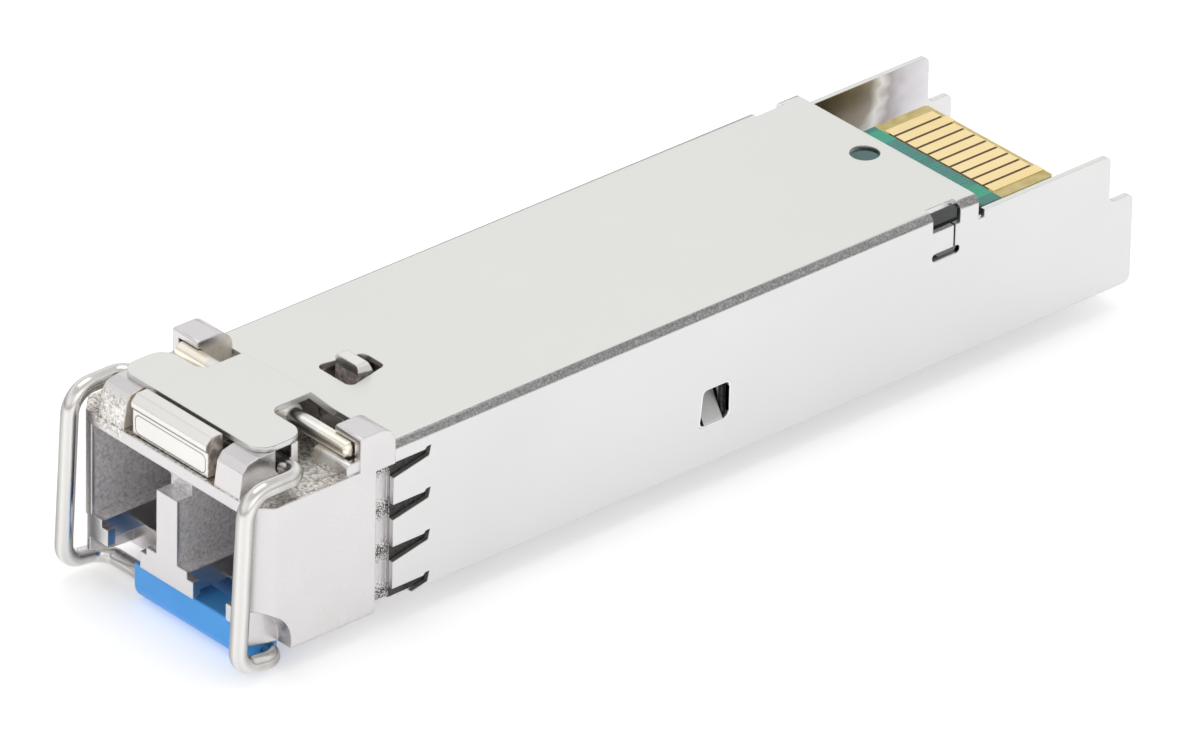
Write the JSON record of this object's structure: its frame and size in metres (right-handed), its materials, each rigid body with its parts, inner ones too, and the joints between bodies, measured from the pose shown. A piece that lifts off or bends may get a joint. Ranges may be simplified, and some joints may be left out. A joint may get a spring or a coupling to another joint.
{
  "type": "sfp transceiver",
  "caption": "Small pluggable optical transceiver with a duplex optical port, a folded steel cover, a card-edge tail and a wire bail with a blue pull bar that releases its latch.",
  "frame": {"origin": "On the flat label side, in the middle of the width, straight below the latch boss's front face", "axes": "+X towards the transmit port, +Y from the optical ports to the card edge, +Z towards the latch side"},
  "size_m": [0.0138, 0.0575, 0.0114],
  "materials": {
    "cast_nickel": "die cast, bright nickel plate over a rough skin",
    "cover_steel": "satin stainless sheet",
    "rocker_metal": "die cast, nickel plate",
    "spring_steel": "bright spring sheet",
    "wire_steel": "drawn bright wire",
    "handle_blue": "moulded, satin",
    "barrel_steel": "turned stainless",
    "ceramic_white": "ground ceramic, stands in for zirconia",
    "can_gold": "gold flashed",
    "flex_amber": "polyimide film",
    "clamp_steel": "stamped sheet",
    "board_green": "solder mask over glass laminate",
    "contact_gold": "hard gold plate",
    "chip_black": "moulded package",
    "capacitor_tan": "fired ceramic",
    "resistor_black": "glazed film",
    "inductor_grey": "ferrite"
  },
  "bodies": {
    "housing": {"housing_casting": "cast_nickel", "steel_cover": "cover_steel", "latch_spring": "spring_steel", "transmitter_barrel": "barrel_steel", "receiver_barrel": "barrel_steel", "transmitter_sleeve": "ceramic_white", "receiver_sleeve": "ceramic_white", "transmitter_can": "can_gold", "receiver_can": "can_gold", "transmitter_flex": "flex_amber", "receiver_flex": "flex_amber", "optics_clamp": "clamp_steel", "circuit_board": "board_green", "top_contacts": "contact_gold", "bottom_contacts": "contact_gold", "laser_driver_chip": "chip_black", "receiver_amplifier_chip": "chip_black", "controller_chip": "chip_black", "memory_chip": "chip_black", "capacitors": "capacitor_tan", "resistors": "resistor_black", "inductors": "inductor_grey"},
    "rocker": {"latch_rocker": "rocker_metal"},
    "bail": {"bail_wire": "wire_steel", "bail_handle": "handle_blue"}
  },
  "joints": [
    {"name": "bail_swing", "type": "hinge", "parent": "housing", "child": "bail", "pos_m": [0, -0.0083, 0.0088], "axis": [-1, 0, 0], "range_deg": [0, 90]},
    {"name": "rocker_tilt", "type": "hinge", "parent": "housing", "child": "rocker", "pos_m": [0, -0.00505, 0.0088], "axis": [-1, 0, 0], "range_deg": [0, 6], "deforming": ["latch_spring"]}
  ],
  "couplings": [
    {"joint": "rocker_tilt", "follows": "bail_swing", "ratio": 0.0667}
  ]
}
